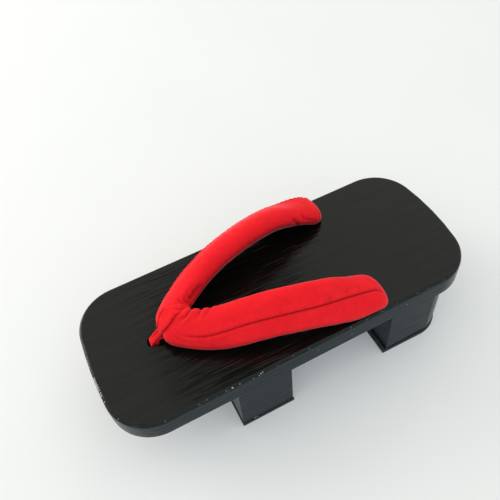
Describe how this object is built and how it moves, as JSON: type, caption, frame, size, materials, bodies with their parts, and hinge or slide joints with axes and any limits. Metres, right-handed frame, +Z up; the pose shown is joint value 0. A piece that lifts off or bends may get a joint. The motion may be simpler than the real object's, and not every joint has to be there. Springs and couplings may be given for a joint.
{
  "type": "geta sandal",
  "caption": "Raised wooden sandal: black lacquered board on two full-width teeth, red padded V strap held by a cloth toe loop.",
  "frame": {"origin": "on the floor under the middle of the sole's bounding box", "axes": "+Z up from the floor; -Y towards the toe and +Y towards the heel; +X is the wearer's left"},
  "size_m": [0.096, 0.23, 0.0835],
  "materials": {
    "lacquered_wood": "semi-gloss black lacquer over raised grain",
    "red_velour": "soft short-pile velour",
    "black_rubber": "matt",
    "black_cotton": "plain cotton"
  },
  "bodies": {
    "root": {"wooden_base": "lacquered_wood", "padded_strap": "red_velour", "toe_loop": "red_velour", "front_tread": "black_rubber", "rear_tread": "black_rubber", "toe_knot": "black_cotton", "rear_knot_left": "black_cotton", "rear_knot_right": "black_cotton"}
  },
  "joints": []
}
